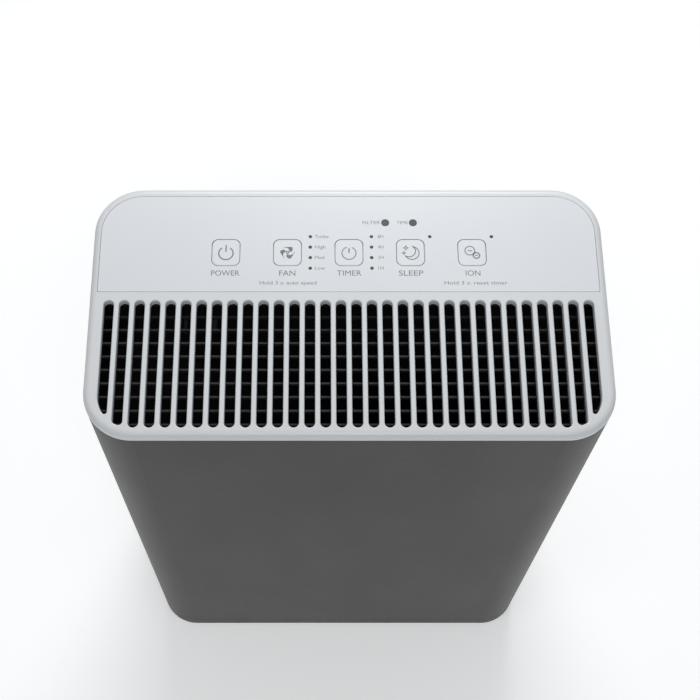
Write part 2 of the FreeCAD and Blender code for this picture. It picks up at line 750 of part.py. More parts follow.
def make_top_cover():
    """The white cover: the outlet ribs in front, the seat of the control panel behind."""
    slotted = minus(cover_blank(), outlet_slots())
    DOC.recompute()
    top, radius = size("case_height"), size("rib_round")
    outer_edge = size("case_width") / 2 - size("cap_round") - 1
    ribs = DOC.addObject("Part::Fillet", "RoundRibs")
    ribs.Base = slotted
    ribs.Edges = [
        (index, radius, radius)
        for index, edge in enumerate(slotted.Shape.Edges, start=1)
        if at_level(edge, "Z", top)
        and edge.BoundBox.YMax < size("slot_back + slip")
        and edge.BoundBox.YMin > size("slot_front - slip")
        and abs(edge.BoundBox.XMin) < outer_edge
    ]
    return keep(ribs, "top_cover")


def make_control_panel():
    """The flush plate over the keys."""
    part = Moulding("control_panel")
    outline, centre = panel_outline("panel_gap")
    part.add("XY", "case_height - panel_thick", "panel_thick", outline, at=centre)
    under, through = "case_height - 2 * panel_thick", "3 * panel_thick"
    hole = rectangle("key_width + 2 * key_gap", "key_depth + 2 * key_gap", "key_round + key_gap")
    keyway = part.cut("XY", under, through, hole, at=("key_shift - 2 * key_pitch", "key_row"))
    part.row(keyway, "H_Axis", "key_pitch", "5")
    lamp_holes(part, under, through, "lamp_radius", "status_radius")
    return part.done()


def key_across(index):
    """The middle of a key, sideways."""
    return f"key_shift + {index - 2} * key_pitch"


def make_key(label, index):
    """A key: its cap in the panel, a flange that keeps it in, and a stem over its switch."""
    part = Moulding(label)
    at = (key_across(index), "key_row")
    low = "case_height - panel_thick - flange_thick - slip"
    flange = rectangle("key_width + 2 * flange_out", "key_depth + 2 * flange_out", "key_round + flange_out")
    part.add("XY", low, "flange_thick", flange, at=at)
    cap = rectangle("key_width", "key_depth", "key_round")
    part.add("XY", f"{low} + flange_thick / 2", f"case_height - ({low}) - flange_thick / 2", cap, at=at)
    part.round("key_edge", lambda edge: at_level(edge, "Z", size("case_height")))
    stem = "board_top + switch_height + key_travel + 2 * slip"
    part.add("XY", stem, f"({low}) - ({stem}) + flange_thick / 2", circle("stem_radius"), at=at)
    return part.done()


def make_lamps():
    """Light pipes from the board to the panel's face."""
    low = "board_top + chip_height + pipe_gap"
    length = f"case_height - ({low})"
    small = [rod("lamp_radius - slip / 2", length, (str(x), str(y), low)) for x, y in lamp_places()]
    large = [rod("status_radius - slip / 2", length, (str(x), "status_row", low)) for x in STATUS_LAMPS]
    return group("indicator_lenses", small), group("status_lenses", large)


def make_control_board():
    """The board under the panel, its switches, its lamps and the screws that hold it to the posts."""
    board = Moulding("control_board")
    outline = rectangle("2 * (post_across + board_margin)", "post_back - post_front + 2 * board_margin", "2")
    middle = ("0", "(post_back + post_front) / 2")
    board.add("XY", "board_top - board_thick", "board_thick", outline, at=middle)
    for y in ("post_front", "post_back"):
        at = ("-post_across", y)
        low, through = "board_top - 2 * board_thick", "4 * board_thick"
        hole = board.cut("XY", low, through, circle("screw_radius"), at=at)
        board.row(hole, "H_Axis", "2 * post_across", "2")
    board.done()
    switches = []
    for index in range(len(CONTROL_KEYS)):
        place = (f"{key_across(index)} - switch_side / 2", "key_row - switch_side / 2", "board_top")
        switches.append(box("switch_side", "switch_side", "switch_height", *place))
    group("key_switches", switches)
    chips = []
    for x, y in lamp_places() + [(x, size("status_row")) for x in STATUS_LAMPS]:
        place = (f"{x} - chip_side / 2", f"{y} - chip_side / 2", "board_top")
        chips.append(box("chip_side", "chip_side", "chip_height", *place))
    group("indicator_leds", chips)
    under, across = size("board_top") - size("board_thick"), size("post_across")
    places = [Vector(x, size(y), under) for x in (-across, across) for y in ("post_front", "post_back")]
    screws("board_screws", places, Vector(0, 0, -1), shank_radius=1.3, shank_length=7)


def make_hand_recess():
    """The cup behind the top of the case by which it is carried."""
    part = Moulding("handle_cup")
    at = ("0", "cup_centre")
    outer_depth = "cup_depth + cup_wall"
    corner = "cup_round + cup_wall - 2 * slip"
    outside = rectangle("cup_width + 2 * cup_wall", "cup_height + 2 * cup_wall", corner)
    part.add("XZ", f"case_depth / 2 - ({outer_depth})", outer_depth, outside, at=at)
    inside = rectangle("cup_width", "cup_height", "cup_round")
    part.cut("XZ", "case_depth / 2 - cup_depth", "cup_depth + 1", inside, at=at)
    mouth, half = size("case_depth") / 2, size("cup_width / 2 + slip")
    part.round("cup_lip", lambda edge: at_level(edge, "Y", mouth) and abs(edge.BoundBox.XMin) < half)
    part.round("cup_floor", lambda edge: at_level(edge, "Y", mouth - size("cup_depth")))
    return part.done()


def make_power_socket():
    """A two-pin appliance inlet: its moulding and its pins."""
    part = Moulding("power_inlet")
    at = ("socket_across", "socket_height")
    face = rectangle("socket_wide", "socket_tall", "socket_round")
    part.add("XZ", "case_depth / 2 - socket_face", "socket_face", face, at=at)
    body = rectangle("socket_body_wide", "socket_body_tall", "2")
    part.add("XZ", "case_depth / 2 - socket_depth", "socket_depth - socket_face / 2", body, at=at)
    part.cut("XZ", "case_depth / 2 - mouth_depth", "socket_depth", stadium("mouth_wide", "mouth_tall"), at=at)
    part.done()
    pins = []
    for side in ("-1", "1"):
        place = (f"socket_across + {side} * pin_across", "case_depth / 2 - mouth_depth", "socket_height")
        pins.append(rod("pin_radius", "pin_length", place, ALONG_Y))
    group("inlet_pins", pins)


# ---------------------------------------------------------------- rear cover and filters


WINDOW_MIDDLE = "(window_high + window_low) / 2"
COVER_WIDTH = "window_width - 2 * cover_gap"
COVER_HEIGHT = "window_high - window_low - 2 * cover_gap"


def make_rear_cover():
    """The pull-off intake cover: a slotted plate with a skirt, a finger hole and stiffening ribs."""
    part = Moulding("rear_cover")
    low = "case_depth / 2 - cover_depth"
    at = ("0", WINDOW_MIDDLE)
    outline = rectangle(COVER_WIDTH, COVER_HEIGHT, "window_round - cover_gap")
    part.add("XZ", low, "cover_depth", outline, at=at)
    part.round("cover_round", lambda edge: at_level(edge, "Y", size("case_depth") / 2))
    hollow = rectangle(f"{COVER_WIDTH} - 2 * wall", f"{COVER_HEIGHT} - 2 * wall", "window_round - wall")
    part.cut("XZ", f"{low} - 1", "cover_depth - wall + 1", hollow, at=at)
    stiffener = rectangle("stiffener_wide", f"{COVER_HEIGHT} - stiffener_wide", "stiffener_wide / 5")
    for side in ("-1", "1"):
        at = (f"{side} * stiffener_across", WINDOW_MIDDLE)
        part.add("XZ", f"{low} + 2 * wall", "cover_depth - 2.5 * wall", stiffener, at=at)
    first = ("-vent_length - vent_gap", "window_low + vent_start")
    slot = part.cut("XZ", low, "cover_depth + 1", stadium("vent_length", "vent_width"), at=first)
    part.grid(slot, "vent_length + vent_gap", "3", "vent_pitch", "vent_rows")
    grip = rectangle("finger_width", "finger_height", "finger_height / 2 - 0.5")
    part.cut("XZ", low, "cover_depth + 1", grip, at=("0", "window_high - finger_drop"))
    return part.done()


def make_cover_clips():
    """Four sprung tongues inside the skirt that hold the cover to the filter bay."""
    clips = []
    thick = "2"
    for side in ("-1", "1"):
        for low in ("window_low + clip_low", "window_high - clip_drop"):
            x = f"{side} * (window_width / 2 - cover_gap - wall - {thick} / 2) - {thick} / 2"
            clips.append(box(thick, "clip_depth", "clip_length", x, "case_depth / 2 - cover_depth + 1", low))
    return group("cover_clips", clips)


FILTER_WIDTH = "window_width - 2 * filter_gap - 2"
FILTER_HEIGHT = "window_high - window_low - 2 * filter_gap - 2"
FILTER_AT = ("0", WINDOW_MIDDLE)


def filter_outline(inset, corner="filter_round / 2"):
    """The filter's outline, drawn in by inset all round."""
    return rectangle(f"{FILTER_WIDTH} - 2 * ({inset})", f"{FILTER_HEIGHT} - 2 * ({inset})", corner)


def make_filter():
    """The pleated filter in its frame, its carbon mat, its seal and its two pull tabs."""
    frame = Moulding("filter_frame")
    frame.add("XZ", "filter_front", "filter_thick", filter_outline("0", "filter_round"), at=FILTER_AT)
    frame.cut("XZ", "filter_front - 1", "filter_thick + 2", filter_outline("filter_rim"), at=FILTER_AT)
    frame.done()
    seal = Moulding("filter_seal")
    outside, inside = filter_outline("1", "filter_round"), filter_outline("1 + seal_rim")
    seal.add("XZ", "filter_front - seal_thick", "seal_thick", outside, at=FILTER_AT)
    seal.cut("XZ", "filter_front - 2 * seal_thick", "3 * seal_thick", inside, at=FILTER_AT)
    seal.done()
    make_pleats()
    mat = Moulding("carbon_mat")
    low = "filter_front + filter_thick - mat_thick - mat_sink"
    mat.add("XZ", low, "mat_thick", filter_outline("filter_rim + 2 * slip"), at=FILTER_AT)
    mat.done()
    tabs = []
    for side in ("-1", "1"):
        place = (f"{side} * tab_across - tab_width / 2", "filter_front + filter_thick", "tab_low")
        tabs.append(box("tab_width", "tab_thick", "tab_length", *place))
    group("filter_pull_tabs", tabs)


def make_pleats():
    """The zigzag of filter paper, one sheet folded to and fro."""
    room = 2 * size("filter_rim") + 6 * size("slip")
    inner_width, inner_height = size(FILTER_WIDTH) - room, size(FILTER_HEIGHT) - room
    pitch, sheet = size("pleat_pitch"), size("pleat_sheet")
    front = size("filter_front") + 2
    back = size("filter_front") + size("filter_thick") - size("mat_thick") - 1
    count = int(inner_width // pitch)
    left = -count * pitch / 2
    behind, ahead = [], []
    for index in range(2 * count + 1):
        x = left + index * pitch / 2
        if index % 2:
            behind += [(x - sheet, back), (x + sheet, back)]
            ahead.append((x, back - sheet))
        else:
            behind.append((x, front + sheet))
            ahead += [(x - sheet, front), (x + sheet, front)]
    low = size(WINDOW_MIDDLE) - inner_height / 2
    outline = [Vector(x, y, low) for x, y in behind + ahead[::-1]]
    return feature("filter_pleats", prism(outline, Vector(0, 0, inner_height)))


def make_prefilter():
    """The washable net in its own thin frame, between the filter and the rear cover."""
    low = "filter_front + filter_thick + net_frame_gap"
    frame = Moulding("prefilter_frame")
    frame.add("XZ", low, "net_frame_thick", filter_outline("0", "filter_round"), at=FILTER_AT)
    step_across = f"({FILTER_WIDTH} - net_bar) / net_columns"
    step_up = f"({FILTER_HEIGHT} - net_bar) / net_rows"
    first = (f"(1 - net_columns) / 2 * {step_across}", f"{WINDOW_MIDDLE} + (1 - net_rows) / 2 * {step_up}")
    cell = rectangle(f"{step_across} - net_bar", f"{step_up} - net_bar", "2")
    hole = frame.cut("XZ", f"{low} - 1", "net_frame_thick + 2", cell, at=first)
    frame.grid(hole, step_across, "net_columns", step_up, "net_rows")
    middle = f"{low} + (net_frame_thick - net_thick) / 2"
    frame.cut("XZ", f"{middle} - slip", "net_thick + 2 * slip", filter_outline("net_rim"), at=FILTER_AT)
    frame.done()
    net = Moulding("prefilter_net")
    net.add("XZ", middle, "net_thick", filter_outline("net_rim + 2 * slip"), at=FILTER_AT)
    net.done()


def bay_outline(out):
    """The outline of the space for the filter, let out all round."""
    height = f"window_high - window_low + 2 * ({out})"
    return rectangle(f"window_width + 2 * ({out})", height, f"window_round + ({out})")


BRUSHES = (-110, -90)
BRUSH_HEIGHT = 468


def make_filter_bay():
    """The middle moulding: a plate that closes the scroll, the fan's bell mouth and the filter's walls."""
    part = Moulding("filter_bay")
    low, high = "window_low - bay_corner", "duct_top - 2"
    plate = rectangle("2 * duct_half + 2", f"{high} - ({low})", "bay_corner")
    part.add("XZ", "bay_front", "bay_plate", plate, at=("0", f"({high} + {low}) / 2"))
    behind = "bay_front + bay_plate"
    length = f"case_depth / 2 - wall - joint_gap - ({behind}) + 1"
    part.add("XZ", f"{behind} - 1", length, bay_outline("bay_wall"), at=FILTER_AT)
    part.cut("XZ", behind, "case_depth", bay_outline("0"), at=FILTER_AT)
    fan_at = ("0", "fan_height")
    bell = circle("inlet_radius + 3")
    part.add("XZ", "bay_front - inlet_depth", "inlet_depth + bay_plate / 2", bell, at=fan_at)
    part.cut("XZ", "bay_front - 2 * inlet_depth", "4 * inlet_depth", circle("inlet_radius"), at=fan_at)
    rim, mouth = size(behind), 2 * size("inlet_radius")
    part.round("2", lambda edge: at_level(edge, "Y", rim) and abs(edge.BoundBox.XLength - mouth) < 0.1)
    for x in BRUSHES:
        part.cut("XZ", "bay_front - 1", "bay_plate + 2", circle("2"), at=(str(x), str(BRUSH_HEIGHT)))
    at = ("-screw_across", "screw_height")
    length = f"case_depth / 2 - wall - ({behind}) + 1"
    boss = part.add("XZ", f"{behind} - 1", length, circle("boss_radius"), at=at)
    part.row(boss, "H_Axis", "2 * screw_across", "2")
    pilot = part.cut("XZ", "case_depth / 2 - 5 * wall", "5 * wall", circle("screw_radius + slip"), at=at)
    part.row(pilot, "H_Axis", "2 * screw_across", "2")
    return part.done()


def make_inlet_guard():
    """Rings and spokes over the fan's mouth."""
    outer, bar = size("inlet_radius"), 2.0
    centre = Vector(0, size("bay_front") - size("inlet_depth") + 0.5, size("fan_height"))
    bars = [Part.makeCylinder(9, bar, centre, BACKWARD)]
    for radius in (16, 30, 44, 58, outer - bar / 2):
        outside = Part.makeCylinder(radius + 0.8, bar, centre, BACKWARD)
        bars.append(outside.cut(Part.makeCylinder(radius - 0.8, bar, centre, BACKWARD)))
    for index in range(6):
        spoke = Part.makeBox(outer - 1, bar, bar, centre - Vector(0, 0, bar / 2))
        spoke.rotate(centre, BACKWARD, index * 60)
        bars.append(spoke)
    return feature("inlet_guard", bars[0].multiFuse(bars[1:]).removeSplitter())


# ---------------------------------------------------------------- fan


def scroll_outline():
    """The inside of the scroll and its duct, seen from the rear: three quarter arcs that grow from the tongue
    round the bottom to the right, then a duct that widens to the outlet."""
    centre_z, first, step = size("fan_height"), size("scroll_first"), size("scroll_step")
    half, top = size("duct_half"), size("duct_top") + 20
    shoulder = 430

    def quarter(x, z, radius, start):
        def at(angle):
            turn = math.radians(angle)
            return Vector(x + radius * math.cos(turn), 0, z + radius * math.sin(turn))

        return Part.Arc(at(start), at(start + 45), at(start + 90)).toShape()

    radii = (first, first + step, first + 2 * step)
    tongue = Vector(0, 0, centre_z + radii[0])
    arcs = [
        quarter(0, centre_z, radii[0], 90),
        quarter(step, centre_z, radii[1], 180),
        quarter(step, centre_z + step, radii[2], 270),
    ]
    right = Vector(step + radii[2], 0, centre_z + step)
    tip = tongue + Vector(14, 0, 5)
    nose = Part.Arc(tip, tongue + Vector(13, 0, -1.5), tongue).toShape()
    corners = [
        right, Vector(right.x, 0, 400), Vector(half, 0, 440), Vector(half, 0, top),
        Vector(-half, 0, top), Vector(-half, 0, shoulder), tip,
    ]
    lines = [Part.LineSegment(a, b).toShape() for a, b in zip(corners, corners[1:])]
    return Part.Wire(arcs + lines + [nose])


def make_scroll():
    """The fan's housing: a scroll that opens into the outlet duct, closed at the back by the filter bay."""
    wall, front, back = size("scroll_wall"), size("scroll_front"), size("bay_front") - 0.1
    inner_face = Part.Face(scroll_outline())
    outer_face = inner_face.makeOffset2D(wall)
    outer_face = Part.Face(outer_face.OuterWire) if outer_face.Faces else Part.Face(outer_face)

    def limited(face, start, end, inset):
        face.translate(Vector(0, start, 0))
        slab = face.extrude(Vector(0, end - start, 0))
        width = size("case_width - 2 * wall") - 2 * inset
        depth = size("case_depth - 2 * wall") - 2 * inset
        limit = Part.makeBox(width, depth, 600, Vector(-width / 2, -depth / 2, 0))
        corners = [edge for edge in limit.Edges if upright(edge)]
        limit = limit.makeFillet(size("corner_round - wall") - inset, corners)
        return slab.common(limit)

    outer = limited(outer_face, front, back, 1.2)
    cavity = limited(inner_face, front + wall, back + 5, 1.2 + wall)
    scroll = outer.cut(cavity)
    above = Part.makeBox(500, 500, 100, Vector(-250, -250, size("duct_top")))
    scroll = scroll.cut(above)
    axis = Vector(0, front - 1, size("fan_height"))
    scroll = scroll.cut(Part.makeCylinder(12, wall + 2, axis, BACKWARD))
    for place in motor_screw_places(front - 1):
        scroll = scroll.cut(Part.makeCylinder(1.6, wall + 2, place, BACKWARD))
    return feature("scroll_housing", scroll.removeSplitter())


def motor_screw_places(y):
    """Three places round the motor's axis."""
    axis, arm = Vector(0, y, size("fan_height")), Vector(0, 0, size("motor_radius - 8"))
    return [axis + Rotation(BACKWARD, angle).multVec(arm) for angle in (0, 120, 240)]


def round_piece(profile):
    """A solid of revolution about the fan's axis from (radius, y) corners."""
    z = size("fan_height")
    points = [Vector(radius, y, z) for radius, y in profile]
    face = Part.Face(Part.makePolygon(points + [points[0]]))
    return face.revolve(Vector(0, 0, z), BACKWARD, 360)


def ring_piece(inner, outer, low_y, high_y):
    """A plain ring round the fan's axis."""
    return round_piece([(inner, low_y), (outer, low_y), (outer, high_y), (inner, high_y)])


def make_motor():
    """The motor: its can, winding, bearings and end cap, fixed to the scroll, and the rotor that turns."""
    back = size("scroll_front") + size("scroll_wall") + 0.1
    outer, shaft = size("motor_radius"), size("shaft_radius")
    front = back + 32
    can = round_piece([
        (5.5, back), (outer, back), (outer, front - 3), (outer - 1.6, front - 3), (outer - 1.6, back + 1.6),
        (13, back + 1.6), (13, back + 9), (11, back + 9), (11, back + 1.2), (5.5, back + 1.2),
    ])
    for place in motor_screw_places(back - 1):
        can = can.cut(Part.makeCylinder(1.25, 4, place, BACKWARD))
    feature("motor_can", can)
    feature("motor_end_cap", round_piece([
        (5.5, front), (30, front), (outer, front - 2.9), (outer - 1.7, front - 2.9),
        (outer - 1.7, front - 4.5), (30, front - 1.6), (13, front - 1.6), (13, front - 8.5),
        (11, front - 8.5), (11, front - 1.2), (5.5, front - 1.2),
    ]))
    middle = (back + front) / 2
    feature("stator_core", ring_piece(24, outer - 1.7, middle - 3, middle + 3))
    coils = [ring_piece(26, 37, y, y + 3) for y in (middle - 6.1, middle + 3.1)]
    feature("motor_winding", Part.makeCompound(coils))
    bearings = [ring_piece(shaft + 0.05, 10.98, y, y + 6.8) for y in (back + 1.5, front - 8.3)]
    feature("motor_bearings", Part.makeCompound(bearings))
    feature("motor_rotor", ring_piece(shaft, 22.5, middle - 5.5, middle + 5.5))
    z = size("fan_height")
    feature("motor_shaft", Part.makeCylinder(shaft, 62, Vector(0, back + 1.3, z), BACKWARD))
    places = motor_screw_places(size("scroll_front"))
    screws("motor_screws", places, Vector(0, -1, 0), head_height=2, shank_radius=1.2, shank_length=4)


def make_fan_wheel():
    """The fan wheel: forward-curved blades between a plate and a ring."""
    part = Moulding("fan_wheel")
    at = ("0", "fan_height")
    part.add("XZ", "wheel_back", "2", circle("fan_radius"), at=at)
    part.add("XZ", "wheel_back", "12", circle("18"), at=at)
    part.cut("XZ", "wheel_back - 1", "20", circle("9"), at=at)
    blade = part.add("XZ", "wheel_back + 1", "blade_length + 1", blade_outline, at=at)
    part.ring(blade, "blade_count")
    ring = (circle("fan_radius + 1"), circle("blade_inner + 8"))
    part.add("XZ", "wheel_back + blade_length - 2", "4", *ring, at=at)
    return part.done()


def blade_outline(sketch):
    """One curved blade between the inner and the outer radius."""
    inner, outer, thick = size("blade_inner"), size("fan_radius"), size("blade_thick")
    mid = (inner + outer) / 2
    sweep = 5.0

    def curve(offset):
        ends = Vector(inner, -sweep / 2 + offset, 0), Vector(outer - 0.4, sweep / 2 + offset, 0)
        return Part.Arc(ends[0], Vector(mid, -sweep * 0.42 + offset, 0), ends[1]), ends

    low, low_ends = curve(-thick / 2)
    high, high_ends = curve(thick / 2)
    edges = [
        low, Part.LineSegment(low_ends[1], high_ends[1]), high, Part.LineSegment(high_ends[0], low_ends[0]),
    ]
    sketch.addGeometry(edges, False)
    for index in range(4):
        sketch.addConstraint(Sketcher.Constraint("Block", index))


def make_hub():
    """The metal hub on the shaft and the nut that holds it."""
    z, y = size("fan_height"), size("wheel_back")
    shaft = size("shaft_radius")
    feature("fan_hub", round_piece([
        (shaft, y - 2), (8.9, y - 2), (8.9, y + 12.1), (13, y + 12.1), (13, y + 14), (shaft, y + 14),
    ]))
    nut = hex_head(0, y + 14.1, z, 13, 5, BACKWARD)
    nut = nut.cut(Part.makeCylinder(shaft, 40, Vector(0, y, z), BACKWARD))
    feature("hub_nut", nut)


def make_outlet_guard():
    """The square finger guard under the outlet slots."""
    thick, bar, pitch = size("guard_thick"), size("guard_bar"), size("guard_pitch")
    half, low, frame = size("duct_half + 1.5"), size("duct_top + slip"), 2.5
    front, back = size("guard_front"), size("bay_front") - 3

    def plate(inset, corner):
        """The guard's outline as a plate, drawn in by inset, with its two front corners rounded."""
        start = Vector(inset - half, front + inset, low)
        whole = Part.makeBox(2 * (half - inset), back - front - 2 * inset, thick, start)
        edges = [edge for edge in whole.Edges if upright(edge) and edge.BoundBox.YMax < front + inset + TINY]
        return whole.makeFillet(corner, edges)

    whole, room = plate(0, size("guard_round")), plate(frame, size("guard_round") - frame)
    bars = []
    row = front + size("guard_first")
    while row < back - bar - frame:
        bars.append(Part.makeBox(2 * half, bar, thick, Vector(-half, row - bar / 2, low)))
        row += pitch
    for index in range(int(size("slot_count")) - 1):
        x = (index + 1 - size("slot_count") / 2) * size("slot_pitch")
        bars.append(Part.makeBox(bar, back - front, thick - bar / 2, Vector(x - bar / 2, front, low)))
    lattice = bars[0].multiFuse(bars[1:]).common(whole)
    return feature("outlet_guard", whole.cut(room).fuse(lattice).removeSplitter())


# ---------------------------------------------------------------- electrics


def make_electrics():
    """The mains board beside the filter bay, the ion generator, the dust sensor and the leads."""
    board_x = size("mains_board")
    feature("main_board", Part.makeBox(1.6, 46, 150, Vector(board_x, 27, 66)))
    tall = 12.2
    inner = board_x - tall
    feature("power_transformer", Part.makeBox(tall, 26, 30, Vector(inner, 36, 80)))
    right = Vector(1, 0, 0)
    caps = [Part.makeCylinder(5, tall, Vector(inner, y, 124), right) for y in (34, 47, 60)]
    caps.append(Part.makeCylinder(6, tall, Vector(inner, 50, 142), right))
    feature("capacitors", Part.makeCompound(caps))
    feature("relay", Part.makeBox(tall, 16, 20, Vector(inner, 40, 166)))
    plugs = [
        Part.makeBox(7, 12, 7, Vector(board_x - 7, 42, 66)),
        Part.makeBox(7, 9, 7, Vector(board_x - 7, 58, 66)),
        Part.makeBox(7, 16, 6, Vector(board_x - 7, 44, 208)),
    ]
    feature("board_connectors", Part.makeCompound(plugs))
    feature("ion_generator", Part.makeBox(44, 18, 22, Vector(-122, 24, 457)))
    brushes = [Part.makeCylinder(1.6, 18, Vector(x, 6, BRUSH_HEIGHT), BACKWARD) for x in BRUSHES]
    feature("ion_brushes", Part.makeCompound(brushes))
    sensor = Part.makeBox(13, 34, 46, Vector(-164.6, 23, 279))
    chamber = Part.makeBox(7, 22, 24, Vector(-165, 29, 290))
    feature("dust_sensor", sensor.cut(chamber))
    feature("inlet_leads", Part.makeCompound([
        tube_along([Vector(x, 69, 42), Vector(x, y, 42), Vector(144.5, y, 42), Vector(144.5, y, 66)], 1.3, 7)
        for x, y in ((95.7, 47), (104.3, 51.5))
    ]))
    low, front = size("lead_height"), size("scroll_front") - 3.2
    along = [(0, front, 170), (0, front, low), (0, 62, low), (144.5, 62, low), (144.5, 62, 66)]
    route = [Vector(*point) for point in along]
    feature("motor_lead", tube_along(route, 1.9, 9))
    feature("motor_connector", Part.makeBox(14, 5.6, 12, Vector(-7, size("scroll_front") - 5.6, 170)))
    ribbon = Part.makeBox(0.9, 14, 281.1, Vector(board_x - 4.5, 45, 214))
    fold = Part.makeBox(36, 14, 0.9, Vector(board_x - 39.6, 45, 495.1))
    rise = Part.makeBox(0.9, 14, 9, Vector(board_x - 39.6, 45, 496))
    feature("panel_ribbon", ribbon.fuse(fold).fuse(rise).removeSplitter())


def make_case_screws():
    """The two screws that hold the rear housing to the filter bay."""
    y = size("case_depth") / 2 - size("screw_seat")
    places = [Vector(side * size("screw_across"), y, size("screw_height")) for side in (-1, 1)]
    sizes = {"head_height": size("screw_rise"), "shank_radius": size("screw_radius")}
    screws("case_screws", places, BACKWARD, **sizes)


def main():
    make_base()
    make_feet()
    make_front_cover()
    make_rear_housing()
    make_top_cover()
    make_control_panel()
    for index, label in enumerate(CONTROL_KEYS):
        make_key(label, index)
    make_lamps()
    make_control_board()
    make_hand_recess()
    make_power_socket()
    make_rear_cover()
    make_cover_clips()
    make_filter()
    make_prefilter()
    make_filter_bay()
    make_inlet_guard()
    make_scroll()
    make_motor()
    make_fan_wheel()
    make_hub()
    make_outlet_guard()
    make_electrics()
    make_case_screws()


def export():
    """Checks every object, then writes one STEP file for each sub-part."""
    DOC.recompute()
    for obj in DOC.Objects:
        if "Invalid" in obj.State or "Error" in obj.State:
            raise RuntimeError(f"{obj.Label} is {obj.State}")
    os.makedirs("parts", exist_ok=True)
    for obj in PIECES:
        shape = obj.Shape
        if shape.isNull() or not shape.isValid() or not shape.Solids:
            raise RuntimeError(f"{obj.Label} has no valid solid")
        shape.exportStep(f"parts/{obj.Label}.step")
        print(f"{obj.Label}: {len(shape.Solids)} solids, {shape.Volume / 1000:.1f} cm3")


main()
export()
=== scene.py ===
"""The looks of the air purifier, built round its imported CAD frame.

Every CAD piece gets its own moulded, woven, folded or plated material. The lettering and the icons of the
control panel, the woven prefilter net and the stitches of the filter's pull tabs are made here as meshes.
All lengths are metres, in the frame of the CAD model: +Z up, +X to the right, -Y to the front.
"""

import math

import bmesh
import bpy
from mathutils import Matrix, Vector


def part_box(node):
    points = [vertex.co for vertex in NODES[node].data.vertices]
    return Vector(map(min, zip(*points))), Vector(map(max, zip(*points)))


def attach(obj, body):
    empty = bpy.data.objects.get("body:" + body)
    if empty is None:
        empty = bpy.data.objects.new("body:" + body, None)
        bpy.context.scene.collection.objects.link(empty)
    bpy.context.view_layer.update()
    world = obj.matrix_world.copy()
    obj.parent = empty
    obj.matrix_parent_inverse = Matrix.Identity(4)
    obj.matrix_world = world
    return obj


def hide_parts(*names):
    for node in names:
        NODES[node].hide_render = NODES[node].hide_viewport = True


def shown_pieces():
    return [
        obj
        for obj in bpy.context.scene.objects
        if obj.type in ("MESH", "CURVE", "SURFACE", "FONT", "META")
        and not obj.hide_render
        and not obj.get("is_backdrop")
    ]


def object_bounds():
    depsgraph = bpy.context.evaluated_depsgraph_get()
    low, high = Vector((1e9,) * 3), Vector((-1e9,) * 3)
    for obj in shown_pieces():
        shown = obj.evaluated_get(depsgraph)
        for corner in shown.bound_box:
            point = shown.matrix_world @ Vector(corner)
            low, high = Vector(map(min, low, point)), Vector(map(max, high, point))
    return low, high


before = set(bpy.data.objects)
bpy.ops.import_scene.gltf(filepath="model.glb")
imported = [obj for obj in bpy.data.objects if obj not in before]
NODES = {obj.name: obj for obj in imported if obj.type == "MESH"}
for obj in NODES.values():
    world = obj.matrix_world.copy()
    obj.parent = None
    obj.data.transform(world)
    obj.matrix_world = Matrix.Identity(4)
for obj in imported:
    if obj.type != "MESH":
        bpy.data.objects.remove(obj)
CAD_LOW, CAD_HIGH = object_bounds()
MM = 0.001

# ---------------------------------------------------------------- camera, floor and light

LENS, SENSOR = 70.4, 36.0
CAMERA_ABOVE_TOP, CAMERA_BEFORE_FRONT, CAMERA_ACROSS = 0.7955, 0.2946, -0.0192
CAMERA_PITCH = math.radians(66.04)
CAMERA_SHIFT = 0.0443
FLOOR_SIZE = 18.0


def make_camera():
    """Looks steeply down on the top from in front, as someone does who stands at the object."""
    data = bpy.data.cameras.new("camera")
    data.lens, data.sensor_width = LENS, SENSOR
    data.shift_x = CAMERA_SHIFT
    camera = bpy.data.objects.new("camera", data)
    camera.location = (CAMERA_ACROSS, CAD_LOW.y - CAMERA_BEFORE_FRONT, CAD_HIGH.z + CAMERA_ABOVE_TOP)
    camera.rotation_euler = (math.pi / 2 - CAMERA_PITCH, 0, 0)
    bpy.context.collection.objects.link(camera)
    bpy.context.scene.camera = camera


def area_light(name, place, target, width, power):
    """A round soft light at place that faces target."""
    data = bpy.data.lights.new(name, "AREA")
    data.shape, data.size, data.energy = "DISK", width, power
    light = bpy.data.objects.new(name, data)
    light.location = place
    light.rotation_euler = (Vector(target) - Vector(place)).to_track_quat("-Z", "Y").to_euler()
    bpy.context.collection.objects.link(light)


def make_stage():
    """A pale floor, an even pale surround and soft lights."""
    mesh = bpy.data.meshes.new("floor")
    half = FLOOR_SIZE / 2
    corners = [(-half, -half, 0), (half, -half, 0), (half, half, 0), (-half, half, 0)]
    mesh.from_pydata(corners, [], [(0, 1, 2, 3)])
    floor = bpy.data.objects.new("floor", mesh)
    bpy.context.collection.objects.link(floor)
    glow = {"Emission_Color": (1, 1, 1, 1), "Emission_Strength": 0.22}
    mesh.materials.append(plain("floor_paint", (0.90, 0.905, 0.91), 0.7, **glow))
    floor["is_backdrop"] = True
    world = bpy.data.worlds.new("surround")
    bpy.context.scene.world = world
    world.use_nodes = True
    background = world.node_tree.nodes["Background"]
    background.inputs["Color"].default_value = (0.96, 0.98, 1.0, 1)
    background.inputs["Strength"].default_value = 0.30
    top = (0, 0.05, CAD_HIGH.z)
    area_light("back_light", (0.05, 0.78, CAD_HIGH.z + 0.56), top, 0.6, 6.0)
    area_light("front_light", (0, -1.2, 2.2), top, 1.2, 16)
    area_light("far_light", (0.2, 2.2, 2.6), (0, 0.5, 0), 1.6, 16)
    area_light("left_light", (-1.9, -1.1, 1.9), (0, 0, 0.3), 1.4, 4.6)
    area_light("right_light", (1.7, -1.3, 1.6), (0, 0, 0.3), 1.4, 2.6)
    scene = bpy.context.scene
    scene.view_settings.view_transform = "Standard"
    scene.view_settings.look = "None"


